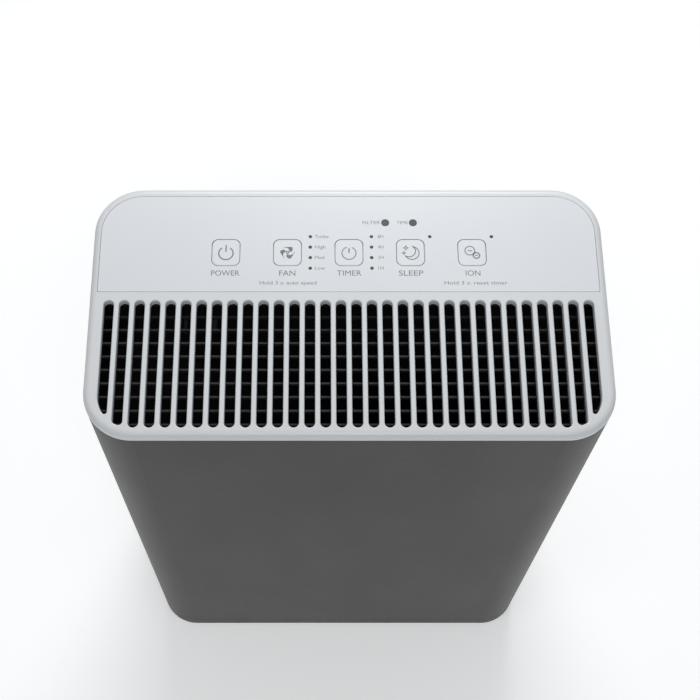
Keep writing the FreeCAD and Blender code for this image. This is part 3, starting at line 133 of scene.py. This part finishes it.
# ---------------------------------------------------------------- materials


class Paint:
    """A material under construction: a Principled shader and short ways to add nodes to it."""

    def __init__(self, name, colour, roughness, **sockets):
        self.material = bpy.data.materials.new(name)
        self.material.use_nodes = True
        self.tree = self.material.node_tree
        self.shader = self.tree.nodes["Principled BSDF"]
        self.shader.inputs["Base Color"].default_value = (*colour, 1)
        self.shader.inputs["Roughness"].default_value = roughness
        for socket, value in sockets.items():
            self.shader.inputs[socket.replace("_", " ")].default_value = value
        self.colour, self.roughness = colour, roughness
        self.place = self.node("ShaderNodeTexCoord").outputs["Object"]
        self.height = None

    def node(self, kind, **values):
        """A new shader node with these settings."""
        node = self.tree.nodes.new(kind)
        for key, value in values.items():
            setattr(node, key, value)
        return node

    def link(self, source, target):
        """Joins an output socket to an input socket."""
        self.tree.links.new(source, target)

    def noise(self, scale, detail=3.0, stretch=(1, 1, 1), roughness=0.5):
        """A noise value over the surface; scale is in features for each metre."""
        mapping = self.node("ShaderNodeMapping")
        mapping.inputs["Scale"].default_value = stretch
        self.link(self.place, mapping.inputs["Vector"])
        noise = self.node("ShaderNodeTexNoise")
        noise.inputs["Scale"].default_value = scale
        noise.inputs["Detail"].default_value = detail
        noise.inputs["Roughness"].default_value = roughness
        self.link(mapping.outputs["Vector"], noise.inputs["Vector"])
        return noise.outputs["Fac"]

    def span(self, value, low, high, from_low=0.3, from_high=0.7):
        """value, spread to run from low to high."""
        node = self.node("ShaderNodeMapRange")
        ends = {"From Min": from_low, "From Max": from_high, "To Min": low, "To Max": high}
        for socket, number in ends.items():
            node.inputs[socket].default_value = number
        self.link(value, node.inputs["Value"])
        return node.outputs["Result"]

    def tint(self, value, other, share=1.0):
        """Mixes the colour so far with another one, by value."""
        mix = self.node("ShaderNodeMix", data_type="RGBA")
        scaled = self.span(value, 0.0, share, 0.0, 1.0)
        self.link(scaled, mix.inputs["Factor"])
        socket = self.shader.inputs["Base Color"]
        if socket.is_linked:
            self.link(socket.links[0].from_socket, mix.inputs[6])
        else:
            mix.inputs[6].default_value = (*self.colour, 1)
        mix.inputs[7].default_value = (*other, 1)
        self.link(mix.outputs[2], socket)

    def gloss(self, value, low, high):
        """Lets the roughness run from low to high with value."""
        self.link(self.span(value, low, high), self.shader.inputs["Roughness"])

    def bump(self, value, depth):
        """Adds relief of that depth."""
        node = self.node("ShaderNodeBump")
        node.inputs["Distance"].default_value = depth
        node.inputs["Strength"].default_value = 1.0
        self.link(value, node.inputs["Height"])
        if self.height:
            self.link(self.height, node.inputs["Normal"])
        self.height = node.outputs["Normal"]
        self.link(self.height, self.shader.inputs["Normal"])

    def waves(self, axis, spacing):
        """Stripes across an axis, spacing metres apart."""
        node = self.node("ShaderNodeTexWave", wave_type="BANDS", bands_direction=axis, wave_profile="SIN")
        node.inputs["Scale"].default_value = 2 * math.pi / (20 * spacing)
        self.link(self.place, node.inputs["Vector"])
        return node.outputs["Fac"]

    def multiply(self, first, second):
        """The product of two values."""
        node = self.node("ShaderNodeMath", operation="MULTIPLY")
        self.link(first, node.inputs[0])
        self.link(second, node.inputs[1])
        return node.outputs["Value"]


def plain(name, colour, roughness, **sockets):
    """A painted or printed surface with only a faint change of colour."""
    paint = Paint(name, colour, roughness, **sockets)
    cloud = paint.noise(3.0)
    paint.tint(paint.span(cloud, 0, 1), tuple(c * 0.97 for c in colour), 0.6)
    return paint.material


def moulded(name, colour, roughness, grain, depth, cloudiness=0.05, swing=0.06, dust=None, **sockets):
    """Injection-moulded plastic: a fine spark-eroded grain, faint flow clouds and uneven gloss."""
    paint = Paint(name, colour, roughness, **sockets)
    cloud = paint.noise(9.0, 4.0)
    darker = tuple(c * (1 - cloudiness) for c in colour)
    paint.tint(paint.span(cloud, 0, 1), darker)
    if dust:
        speck = paint.noise(420.0, 2.0)
        film = paint.noise(16.0, 3.0)
        share = paint.multiply(paint.span(speck, 0, 1, 0.56, 0.75), paint.span(film, 0, 1, 0.45, 0.7))
        paint.tint(share, dust, 0.35)
    smear = paint.noise(28.0, 3.0, stretch=(1, 1, 0.35))
    paint.gloss(smear, roughness - swing / 2, roughness + swing / 2)
    paint.bump(paint.noise(grain, 2.0), depth)
    return paint.material


def woven(name, colour, thread, depth, shade=0.7):
    """Cloth or webbing with a plain weave; the low places between the threads get painted shade."""
    paint = Paint(name, colour, 0.85, Sheen_Weight=0.25)
    across = paint.waves("X", thread)
    up = paint.waves("Z", thread)
    weave = paint.multiply(across, up)
    # Painted shade: where the weave is low, between the threads and away from their crossings, the colour
    # is darkened, matching the bump below.
    paint.tint(paint.span(weave, 1, 0, 0.0, 0.6), tuple(c * shade for c in colour), 0.8)
    paint.tint(paint.span(paint.noise(40.0), 0, 1), tuple(c * 0.9 for c in colour), 0.5)
    paint.bump(weave, depth)
    return paint.material


def metal(name, colour, roughness, stretch=(1, 1, 1), brushing=900.0, depth=2e-6):
    """Bare or plated metal with faint working marks."""
    paint = Paint(name, colour, roughness, Metallic=1.0)
    marks = paint.noise(brushing, 2.0, stretch=stretch)
    paint.gloss(marks, roughness * 0.8, roughness * 1.25)
    paint.tint(paint.span(paint.noise(30.0), 0, 1), tuple(c * 0.85 for c in colour), 0.6)
    paint.bump(marks, depth)
    return paint.material


def paper(name, colour):
    """Filter paper: fibres and faint speckles."""
    paint = Paint(name, colour, 0.92, Sheen_Weight=0.15)
    fibres = paint.noise(1400.0, 4.0, stretch=(1, 1, 0.25), roughness=0.7)
    paint.tint(paint.span(fibres, 0, 1), tuple(c * 0.88 for c in colour))
    paint.bump(fibres, 6e-5)
    return paint.material


def carbon(name):
    """Activated carbon grains held in a net, with painted shade in the hollows and painted highlight on
    the raised cell edges.
    """
    paint = Paint(name, (0.022, 0.022, 0.024), 0.7)
    cells = paint.node("ShaderNodeTexVoronoi", feature="F1")
    cells.inputs["Scale"].default_value = 520.0
    paint.link(paint.place, cells.inputs["Vector"])
    # Painted shade and painted highlight: the low cell centres of the bump stay dark and its raised cell
    # edges are tinted lighter, from the same distance field as the bump.
    paint.tint(paint.span(cells.outputs["Distance"], 0, 1, 0.1, 0.6), (0.07, 0.07, 0.075), 0.7)
    paint.gloss(paint.noise(900.0), 0.35, 0.9)
    paint.bump(cells.outputs["Distance"], 5e-4)
    return paint.material


def board(name, colour):
    """A printed circuit board: solder mask over faint tracks."""
    paint = Paint(name, colour, 0.35)
    tracks = paint.node("ShaderNodeTexBrick")
    tracks.inputs["Scale"].default_value = 90.0
    tracks.inputs["Mortar Size"].default_value = 0.06
    paint.link(paint.place, tracks.inputs["Vector"])
    paint.tint(tracks.outputs["Fac"], (0.06, 0.30, 0.14), 0.8)
    paint.bump(tracks.outputs["Fac"], 3e-5)
    return paint.material


PALE_DUST, DARK_DUST = (0.50, 0.49, 0.47), (0.12, 0.117, 0.11)


def make_materials():
    """One finish for each kind of piece, and the CAD nodes that have it."""
    white = moulded(
        "white_cap", (0.575, 0.595, 0.61), 0.36, 2600.0, 1.2e-5, 0.025, 0.08, dust=PALE_DUST,
    )
    panel = moulded("white_panel", (0.605, 0.628, 0.655), 0.32, 3200.0, 6e-6, 0.02, 0.06)
    keys = moulded("white_keys", (0.615, 0.632, 0.660), 0.34, 3200.0, 6e-6, 0.02, 0.06)
    dark = moulded(
        "dark_case", (0.039, 0.038, 0.037), 0.44, 1500.0, 8e-6, 0.04, 0.03, dust=DARK_DUST,
        Specular_IOR_Level=0.20,
    )
    rear = moulded("dark_rear", (0.046, 0.046, 0.045), 0.50, 1900.0, 5e-5, 0.12, 0.10, dust=DARK_DUST)
    inner = moulded("inner_plastic", (0.012, 0.012, 0.013), 0.6, 1900.0, 4e-5)
    guard = moulded("guard_plastic", (0.016, 0.016, 0.018), 0.6, 1900.0, 3e-5)
    fan = moulded("fan_plastic", (0.055, 0.056, 0.06), 0.5, 1600.0, 3e-5, 0.15)
    black = moulded("black_plastic", (0.018, 0.018, 0.018), 0.42, 1900.0, 3e-5)
    rubber = moulded("foot_rubber", (0.022, 0.022, 0.022), 0.8, 900.0, 8e-5, 0.2)
    lens = moulded("smoked_lens", (0.035, 0.036, 0.040), 0.25, 3000.0, 2e-6, 0.05, 0.04)
    foam = moulded("foam_seal", (0.03, 0.03, 0.032), 0.95, 1100.0, 3e-4, 0.3)
    steel = metal("plated_steel", (0.60, 0.60, 0.61), 0.30)
    cast = metal("cast_metal", (0.56, 0.56, 0.57), 0.45, brushing=500.0, depth=1.5e-5)
    nickel = metal("nickel_pins", (0.78, 0.76, 0.70), 0.18)
    copper = metal(
        "copper_wire", (0.72, 0.33, 0.16), 0.30, stretch=(1, 0.1, 1), brushing=1500.0, depth=1e-4
    )
    card = paper("filter_card", (0.80, 0.80, 0.77))
    pleat = paper("pleated_paper", (0.84, 0.85, 0.84))
    circuit = board("circuit_board", (0.012, 0.10, 0.045))
    tape = plain("transformer_tape", (0.65, 0.47, 0.06), 0.45)
    cream = plain("cream_plastic", (0.72, 0.70, 0.62), 0.5)
    sheath = moulded("lead_sheath", (0.02, 0.02, 0.02), 0.5, 700.0, 3e-5)
    strip = Paint("ribbon_strip", (0.40, 0.41, 0.43), 0.5)
    strip.bump(strip.waves("Y", 1.0 * MM), 1e-4)
    tab = woven("tab_webbing", (0.80, 0.80, 0.77), 0.9 * MM, 1.5e-4)
    finishes = {
        white: ["top_cover"],
        panel: ["control_panel"],
        keys: ["power_key", "fan_key", "timer_key", "sleep_key", "ion_key"],
        dark: ["front_cover", "rear_housing", "base"],
        rear: ["rear_cover", "cover_clips", "handle_cup"],
        inner: ["filter_bay", "inlet_guard", "scroll_housing"],
        guard: ["outlet_guard"],
        fan: ["fan_wheel"],
        black: [
            "power_inlet", "prefilter_frame", "key_switches", "capacitors", "relay", "ion_generator",
            "dust_sensor",
        ],
        rubber: ["feet"],
        lens: ["indicator_lenses", "status_lenses", "indicator_leds"],
        foam: ["filter_seal"],
        steel: [
            "case_screws", "board_screws", "motor_screws", "stator_core", "motor_bearings", "motor_rotor",
            "motor_shaft", "hub_nut",
        ],
        cast: ["motor_can", "motor_end_cap", "fan_hub"],
        nickel: ["inlet_pins"],
        copper: ["motor_winding"],
        card: ["filter_frame"],
        pleat: ["filter_pleats"],
        carbon("carbon_grains"): ["carbon_mat", "ion_brushes"],
        circuit: ["control_board", "main_board"],
        tape: ["power_transformer"],
        cream: ["board_connectors", "motor_connector"],
        sheath: ["inlet_leads", "motor_lead"],
        strip.material: ["panel_ribbon"],
        tab: ["filter_pull_tabs"],
    }
    for finish, names in finishes.items():
        for name in names:
            mesh = NODES[name].data
            mesh.materials.clear()
            mesh.materials.append(finish)
            mesh.polygons.foreach_set("material_index", [0] * len(mesh.polygons))


# ---------------------------------------------------------------- flat print: lettering and icons

INK_RAISE = 0.03 * MM
PANEL_FACE = CAD_HIGH.z
CAPITAL_SHARE = 0.72  # the height of a capital, as a share of the font's size
WELD = 1e-7


def new_piece(name, bm, body, material):
    """A finished mesh that rides on a CAD body."""
    bmesh.ops.recalc_face_normals(bm, faces=bm.faces)
    mesh = bpy.data.meshes.new(name)
    bm.to_mesh(mesh)
    bm.free()
    mesh.materials.append(material)
    piece = bpy.data.objects.new(name, mesh)
    bpy.context.collection.objects.link(piece)
    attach(piece, body)
    return piece


def slab(bm, rails, closed=False):
    """A thin closed slab on the panel's face between pairs of points (left, right)."""
    rings = []
    for left, right in rails:
        rings.append([
            bm.verts.new((p[0], p[1], PANEL_FACE + z)) for z in (0, INK_RAISE) for p in (left, right)
        ])
    pairs = list(zip(rings, rings[1:])) + ([(rings[-1], rings[0])] if closed else [])
    for a, b in pairs:
        for i, j in ((0, 1), (1, 3), (3, 2), (2, 0)):
            bm.faces.new((a[i], a[j], b[j], b[i]))
    if not closed:
        for ring in (rings[0], rings[-1]):
            bm.faces.new((ring[0], ring[1], ring[3], ring[2]))


def ribbon(bm, points, width, closed=False):
    """A printed line of even width along points (x, y)."""
    count = len(points)
    flat = [Vector(p) for p in points]
    rails = []
    for index, here in enumerate(flat):
        before = flat[(index - 1) % count] if closed or index else here
        after = flat[(index + 1) % count] if closed or index < count - 1 else here
        runs = [run.normalized() for run in (here - before, after - here) if run.length > 1e-9]
        along = sum(runs, Vector((0, 0))).normalized()
        across = Vector((-along.y, along.x))
        reach = width / 2 / max(0.4, across.dot(Vector((-runs[0].y, runs[0].x))))
        rails.append((here + across * reach, here - across * reach))
    slab(bm, rails, closed)


def ring_points(centre, radius, start=0.0, turn=360.0, steps=40):
    """Points along an arc; a full turn leaves out the repeated last point."""
    last = steps if turn >= 360 else steps - 1
    return [
        (
            centre[0] + radius * math.cos(math.radians(start + turn * i / last)),
            centre[1] + radius * math.sin(math.radians(start + turn * i / last)),
        )
        for i in range(steps)
    ]


def word_mesh(text, height):
    """The flat letters of a word, as a mesh with its left end and its middle height at the origin."""
    curve = bpy.data.curves.new("words", "FONT")
    curve.body, curve.align_x, curve.align_y = text, "LEFT", "CENTER"
    curve.size = height / CAPITAL_SHARE
    curve.resolution_u = 3
    curve.extrude = INK_RAISE / 2
    holder = bpy.data.objects.new("words", curve)
    bpy.context.collection.objects.link(holder)
    bpy.context.view_layer.update()
    mesh = bpy.data.meshes.new_from_object(holder.evaluated_get(bpy.context.evaluated_depsgraph_get()))
    bpy.data.objects.remove(holder)
    return mesh


def lettering(name, lines, material):
    """Printed words on the panel.

    Each line is (text, x, y, letter height, width, share of the width before x).
    """
    joined = bmesh.new()
    for text, x, y, height, width, share in lines:
        mesh = word_mesh(text, height)
        left = min(vertex.co.x for vertex in mesh.vertices)
        right = max(vertex.co.x for vertex in mesh.vertices)
        stretch = width / (right - left)
        place = Matrix.Translation((x - width * share - left * stretch, y, PANEL_FACE + INK_RAISE / 2))
        mesh.transform(place @ Matrix.Diagonal((stretch, 1, 1, 1)))
        joined.from_mesh(mesh)
    bmesh.ops.remove_doubles(joined, verts=joined.verts, dist=WELD)
    bmesh.ops.dissolve_degenerate(joined, dist=WELD, edges=joined.edges)
    new_piece(name, joined, "case", material)


KEY_NODES = ("power_key", "fan_key", "timer_key", "sleep_key", "ion_key")


def key_centre(node):
    """The middle of a key, from above."""
    low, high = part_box(node)
    return ((low.x + high.x) / 2, (low.y + high.y) / 2)


def shifted(points, centre):
    """Points in millimetres round a centre, in metres."""
    return [(centre[0] + x * MM, centre[1] + y * MM) for x, y in points]


ICON_LINE = 0.85 * MM
FINE_LINE = 0.65 * MM


def power_icon(bm, centre):
    """An open ring with a bar in its gap."""
    ribbon(bm, shifted(ring_points((0, -0.6), 4.7, 124, 292), centre), ICON_LINE)
    ribbon(bm, shifted([(0, 0.4), (0, 5.6)], centre), ICON_LINE)


def fan_icon(bm, centre):
    """Three swept blades round a hub."""
    ribbon(bm, shifted(ring_points((0, 0), 0.8, steps=20), centre), FINE_LINE, closed=True)
    root, tip, steps = 1.3, 5.1, 14
    for turn in (30, 150, 270):
        rails = []
        for step in range(steps):
            share = step / (steps - 1)
            radius = root + (tip - root) * share
            middle = turn + 62 * share**1.4
            spread = 12 + 26 * math.sin(math.pi * min(share, 0.8) / 1.6)
            edges = [math.radians(middle + side * spread) for side in (-1, 1)]
            rails.append(shifted([(radius * math.cos(a), radius * math.sin(a)) for a in edges], centre))
        slab(bm, rails)


def timer_icon(bm, centre):
    """A clock face with a gap and one hand."""
    ribbon(bm, shifted(ring_points((0, -0.5), 4.6, 108, 318), centre), FINE_LINE)
    ribbon(bm, shifted([(0, -0.4), (0, 3.0)], centre), ICON_LINE)


def sleep_icon(bm, centre):
    """A crescent moon and two small stars."""
    outer = ring_points((0.9, -0.4), 4.7, -150, 230, 30)
    inner = ring_points((-1.0, 1.1), 4.3, 62, -196, 24)
    ribbon(bm, shifted(outer + inner[1:-1], centre), FINE_LINE, closed=True)
    for place, size in (((-3.0, 3.4), 1.5), ((-4.4, -0.4), 1.0)):
        star = [
            (place[0] + r * math.cos(a), place[1] + r * math.sin(a))
            for k in range(8)
            for r, a in [(size if k % 2 == 0 else size * 0.45, math.radians(90 + 45 * k))]
        ]
        ribbon(bm, shifted(star, centre), FINE_LINE * 0.8, closed=True)


def ion_icon(bm, centre):
    """A large and a small ion, each with its minus sign."""
    ribbon(bm, shifted(ring_points((-1.4, 1.3), 3.2), centre), FINE_LINE, closed=True)
    ribbon(bm, shifted([(-2.8, 1.3), (0.0, 1.3)], centre), FINE_LINE)
    ribbon(bm, shifted(ring_points((2.8, -2.2), 2.1, steps=28), centre), ICON_LINE, closed=True)
    ribbon(bm, shifted([(1.9, -2.2), (3.7, -2.2)], centre), FINE_LINE)


LABEL_DROP, NOTE_DROP = 15.4 * MM, 22.4 * MM
LABEL_HEIGHT, NOTE_HEIGHT, SCALE_HEIGHT = 4.0 * MM, 2.6 * MM, 2.5 * MM
LABELS = (
    ("power_key", "POWER", 18.6), ("fan_key", "FAN", 10.6), ("timer_key", "TIMER", 16.0),
    ("sleep_key", "SLEEP", 16.0), ("ion_key", "ION", 9.6),
)
NOTES = (("fan_key", "Hold 3 s: auto speed", 37.0, 0.6), ("ion_key", "Hold 3 s: reset timer", 41.0, 1.6))
FAN_LAMPS, TIMER_LAMPS = -24.9 * MM, 15.4 * MM
SPEEDS = (("Turbo", 9.0), ("High", 7.0), ("Med", 6.2), ("Low", 6.6))
HOURS = (("8H", 3.6), ("4H", 3.6), ("2H", 3.6), ("1H", 3.4))
LAMP_TOP, LAMP_PITCH, SPEED_GAP, HOUR_GAP = 51.8 * MM, 7.8 * MM, 3.0 * MM, 4.2 * MM
STATUS_ROW, STATUS_GAP = 62.3 * MM, 3.4 * MM
STATUS_WORDS = (("FILTER", 24.7, 11.6), ("TIME", 43.1, 7.4))
LEFT_END, MIDDLE, RIGHT_END = 0.0, 0.5, 1.0


def make_print():
    """The panel's grey lettering and the icons on the keys."""
    ink = plain("grey_ink", (0.15, 0.16, 0.17), 0.5)
    small_ink = plain("light_grey_ink", (0.17, 0.18, 0.19), 0.5)
    words = []
    for node, word, width in LABELS:
        x, y = key_centre(node)
        words.append((word, x, y - LABEL_DROP, LABEL_HEIGHT, width * MM, MIDDLE))
    lettering("key_words", words, ink)
    notes = []
    for lamps, gap, scale in ((FAN_LAMPS, SPEED_GAP, SPEEDS), (TIMER_LAMPS, HOUR_GAP, HOURS)):
        for index, (word, width) in enumerate(scale):
            row = LAMP_TOP - index * LAMP_PITCH
            notes.append((word, lamps + gap, row, SCALE_HEIGHT, width * MM, LEFT_END))
    for word, lamp, width in STATUS_WORDS:
        notes.append((word, lamp * MM - STATUS_GAP, STATUS_ROW, SCALE_HEIGHT, width * MM, RIGHT_END))
    for node, note, width, shift in NOTES:
        x, y = key_centre(node)
        notes.append((note, x + shift * MM, y - NOTE_DROP, NOTE_HEIGHT, width * MM, MIDDLE))
    lettering("panel_notes", notes, small_ink)
    icons = (power_icon, fan_icon, timer_icon, sleep_icon, ion_icon)
    for node, draw in zip(KEY_NODES, icons):
        bm = bmesh.new()
        draw(bm, key_centre(node))
        new_piece(node.replace("_key", "_icon"), bm, node + "_cap", ink)


# ---------------------------------------------------------------- the prefilter's net

NET_PITCH = 2.6 * MM
NET_THREAD = 0.32 * MM
WEAVE_SHARE = 0.8  # how far a thread swings to each side, as a share of its radius


def strand(bm, points, radius):
    """A thread with four sides through the points."""
    rings = []
    for index, here in enumerate(points):
        before, after = points[max(index - 1, 0)], points[min(index + 1, len(points) - 1)]
        along = (after - before).normalized()
        side = along.cross(Vector((0, 1, 0))).normalized() * radius
        up = along.cross(side).normalized() * radius
        rings.append([bm.verts.new(here + offset) for offset in (side, up, -side, -up)])
    for a, b in zip(rings, rings[1:]):
        for i in range(4):
            j = (i + 1) % 4
            bm.faces.new((a[i], a[j], b[j], b[i]))
    bm.faces.new(rings[0][::-1])
    bm.faces.new(rings[-1])


def make_net():
    """The woven net that stands for the plain sheet in the prefilter's frame."""
    low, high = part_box("prefilter_net")
    middle = (low.y + high.y) / 2
    radius = NET_THREAD / 2
    columns = int((high.x - low.x) / NET_PITCH)
    rows = int((high.z - low.z) / NET_PITCH)
    xs = [low.x + (high.x - low.x) * (i + 0.5) / columns for i in range(columns)]
    zs = [low.z + (high.z - low.z) * (i + 0.5) / rows for i in range(rows)]
    bm = bmesh.new()
    swing = radius * WEAVE_SHARE
    for i, x in enumerate(xs):
        path = [Vector((x, middle + swing * (1 if (i + j) % 2 else -1), z)) for j, z in enumerate(zs)]
        strand(bm, [Vector((x, middle, low.z))] + path + [Vector((x, middle, high.z))], radius)
    for j, z in enumerate(zs):
        path = [Vector((x, middle + swing * (-1 if (i + j) % 2 else 1), z)) for i, x in enumerate(xs)]
        strand(bm, [Vector((low.x, middle, z))] + path + [Vector((high.x, middle, z))], radius)
    thread = moulded("net_thread", (0.05, 0.05, 0.052), 0.45, 1500.0, 1e-5)
    net = new_piece("prefilter_weave", bm, "prefilter", thread)
    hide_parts("prefilter_net")


# ---------------------------------------------------------------- the pull tabs' stitches

TAB_WIDTH = 18 * MM
SEAM_WIDTH, SEAM_HEIGHT, SEAM_DROP = 13.5 * MM, 11.0 * MM, 8.0 * MM
STITCH, STITCH_GAP, STITCH_RISE = 1.5 * MM, 0.7 * MM, 0.2 * MM
STITCH_THREAD = 0.36 * MM
STITCH_START, STITCH_END = 0.15, 0.85  # shares of a step, the rest is the gap


def seam(bm, start, end):
    """A row of stitches between two points, each a low arch out of the tab's face."""
    along = end - start
    count = max(int(along.length / (STITCH + STITCH_GAP)), 1)
    step = along / count
    arch = Vector((0, STITCH_RISE, 0))
    for index in range(count):
        first = start + step * (index + STITCH_START)
        last = start + step * (index + STITCH_END)
        strand(bm, [first, (first + last) / 2 + arch, last], STITCH_THREAD / 2)


def make_stitches():
    """A crossed box of stitches at the upper end of each pull tab."""
    low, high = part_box("filter_pull_tabs")
    bm = bmesh.new()
    for x in (low.x + TAB_WIDTH / 2, high.x - TAB_WIDTH / 2):
        centre = Vector((x, high.y, high.z - SEAM_DROP))
        corners = [
            centre + Vector((across * SEAM_WIDTH / 2, 0, up * SEAM_HEIGHT / 2))
            for across, up in ((-1, -1), (1, -1), (1, 1), (-1, 1))
        ]
        for a, b in ((0, 1), (1, 2), (2, 3), (3, 0), (0, 2), (1, 3)):
            seam(bm, corners[a], corners[b])
    thread = moulded("stitch_thread", (0.62, 0.60, 0.55), 0.6, 2500.0, 2e-5)
    new_piece("tab_stitches", bm, "filter", thread)


# ---------------------------------------------------------------- finish

SHARP_ANGLE = math.radians(28)


def smooth_shading():
    """Smooth shading, with the real edges kept sharp."""
    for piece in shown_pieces():
        if piece.type == "MESH":
            piece.data.shade_smooth()
            piece.data.set_sharp_from_angle(angle=SHARP_ANGLE)


make_camera()
make_stage()
make_materials()
make_print()
make_net()
make_stitches()
smooth_shading()
